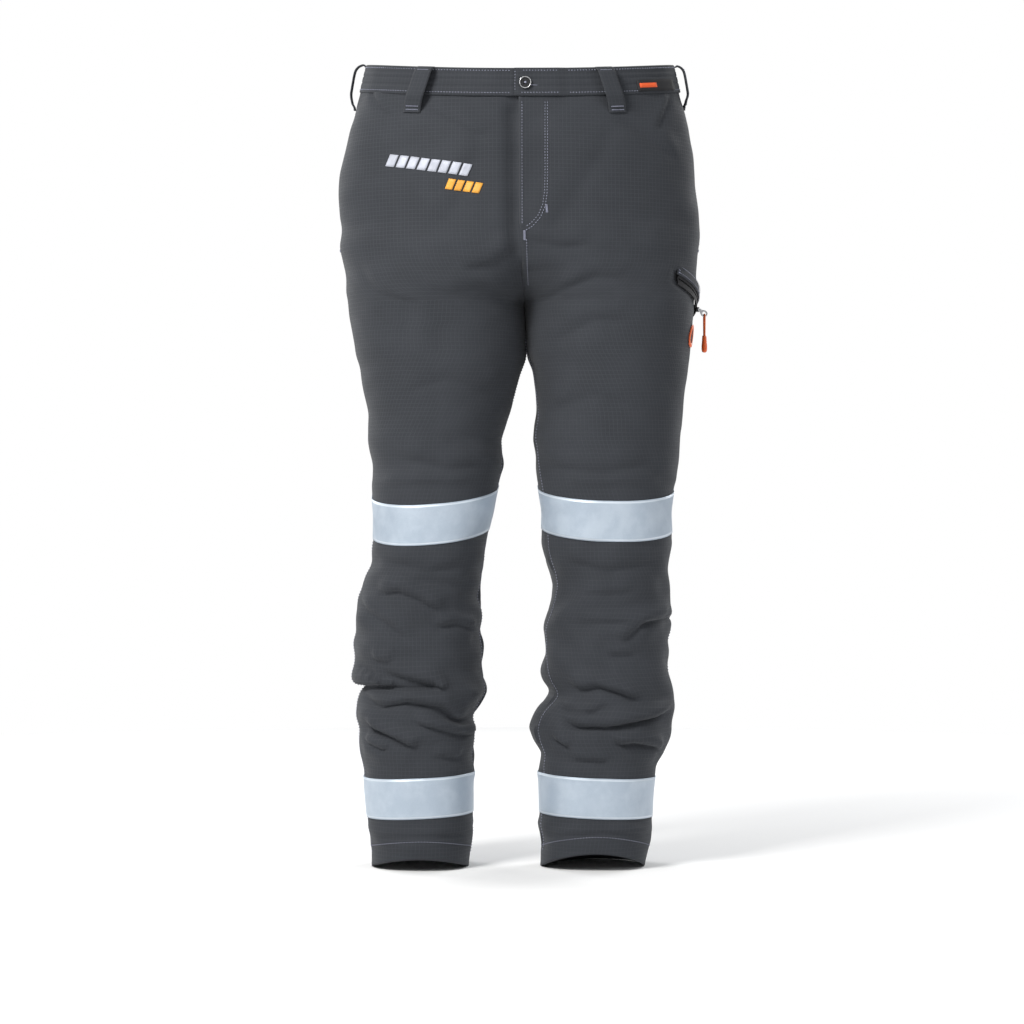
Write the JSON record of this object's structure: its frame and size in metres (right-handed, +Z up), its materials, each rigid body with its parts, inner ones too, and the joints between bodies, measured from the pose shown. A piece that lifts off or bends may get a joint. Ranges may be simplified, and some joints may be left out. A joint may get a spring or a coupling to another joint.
{
  "type": "chainsaw protective trousers",
  "caption": "Chainsaw protective trousers in their worn shape, with saw pads, reflective knee and ankle bands, belt loops, a zipped fly and a zipped thigh pocket with a cord puller.",
  "frame": {"origin": "centre of the waist opening, level with the top of the waistband at the back", "axes": "+Z up along the wearer's body, -Y to the wearer's front, +X to the wearer's left"},
  "size_m": [0.4606, 0.2573, 1.0035],
  "materials": {
    "outer_cloth": "matte ripstop weave",
    "reflective_tape": "satin silver",
    "cut_stopping_fibre": "loose white fibre",
    "lining": "fine black mesh",
    "elastic": "ribbed black",
    "button": "satin black, paler rim",
    "thread": "grey thread",
    "zip_tape": "woven black",
    "zip_coil": "black nylon",
    "zip_metal": "dull nickel",
    "black_metal": "satin black",
    "orange_cord": "braided cord",
    "orange_rubber": "satin moulded",
    "grey_embroidery": "close stitched",
    "amber_embroidery": "close stitched",
    "label": "woven, orange bar",
    "orange_patch": "moulded patch"
  },
  "bodies": {
    "trousers": {"bar_tacks": "thread", "belt_loop_back_centre": "outer_cloth", "belt_loop_back_left": "outer_cloth", "belt_loop_back_right": "outer_cloth", "belt_loop_front_left": "outer_cloth", "belt_loop_front_right": "outer_cloth", "belt_loop_side_left": "outer_cloth", "belt_loop_side_right": "outer_cloth", "button_thread": "thread", "buttonhole_stitching": "thread", "embroidered_stripe_amber": "amber_embroidery", "embroidered_stripe_grey": "grey_embroidery", "fly_facing": "outer_cloth", "fly_shield": "lining", "fly_zip_coil_left": "zip_coil", "fly_zip_coil_right": "zip_coil", "fly_zip_stops": "zip_metal", "fly_zip_tape_left": "zip_tape", "fly_zip_tape_right": "zip_tape", "left_ankle_band_back": "reflective_tape", "left_ankle_band_front": "reflective_tape", "left_back_panel": "outer_cloth", "left_back_pocket_bag": "lining", "left_back_pocket_welt": "outer_cloth", "left_front_panel": "outer_cloth", "left_hem_facing": "outer_cloth", "left_hip_pocket_bag": "lining", "left_knee_band_back": "reflective_tape", "left_knee_band_front": "reflective_tape", "left_lining": "lining", "left_saw_pad": "cut_stopping_fibre", "right_ankle_band_back": "reflective_tape", "right_ankle_band_front": "reflective_tape", "right_back_panel": "outer_cloth", "right_back_pocket_bag": "lining", "right_back_pocket_welt": "outer_cloth", "right_front_panel": "outer_cloth", "right_hem_facing": "outer_cloth", "right_hip_pocket_bag": "lining", "right_knee_band_back": "reflective_tape", "right_knee_band_front": "reflective_tape", "right_lining": "lining", "right_saw_pad": "cut_stopping_fibre", "thigh_badge": "orange_patch", "thigh_pocket_bag": "lining", "thigh_pocket_flap": "outer_cloth", "thigh_zip_coils": "zip_coil", "thigh_zip_stops": "zip_metal", "thigh_zip_tapes": "zip_tape", "waistband_elastic": "elastic", "waistband_left": "outer_cloth", "waistband_right": "outer_cloth", "woven_label": "label"},
    "fly_slider": {"fly_zip_slider": "zip_metal", "fly_zip_pull": "zip_metal"},
    "thigh_slider": {"thigh_zip_slider": "black_metal"},
    "thigh_tab": {"thigh_zip_tab": "zip_metal"},
    "thigh_puller": {"thigh_puller_cord": "orange_cord", "thigh_puller_grip": "orange_rubber"},
    "button": {"waist_button": "button"}
  },
  "joints": [
    {"name": "fly_zip_slide", "type": "slide", "parent": "trousers", "child": "fly_slider", "axis": [0, 0.0905, 0.9959], "range_m": [-0.126, 0]},
    {"name": "thigh_zip_slide", "type": "hinge", "parent": "trousers", "child": "thigh_slider", "pos_m": [0.1095, -0.002, -0.293], "axis": [0.0843, 0.3145, 0.9455], "range_deg": [-47.5, 0]},
    {"name": "thigh_tab_flip", "type": "hinge", "parent": "thigh_slider", "child": "thigh_tab", "pos_m": [0.22354, 0.0129, -0.30812], "axis": [0.0843, 0.3145, 0.9455], "range_deg": [-60, 38]},
    {"name": "thigh_puller_swing", "type": "hinge", "parent": "thigh_tab", "child": "thigh_puller", "pos_m": [0.231, 0.01259, -0.31315], "axis": [-0.1625, 0.9405, -0.2983], "range_deg": [-95, 8]},
    {"name": "waist_button_turn", "type": "hinge", "parent": "trousers", "child": "button", "pos_m": [0.006, -0.1135, -0.042], "axis": [0, -1, 0], "range_deg": [-40, 40]}
  ]
}
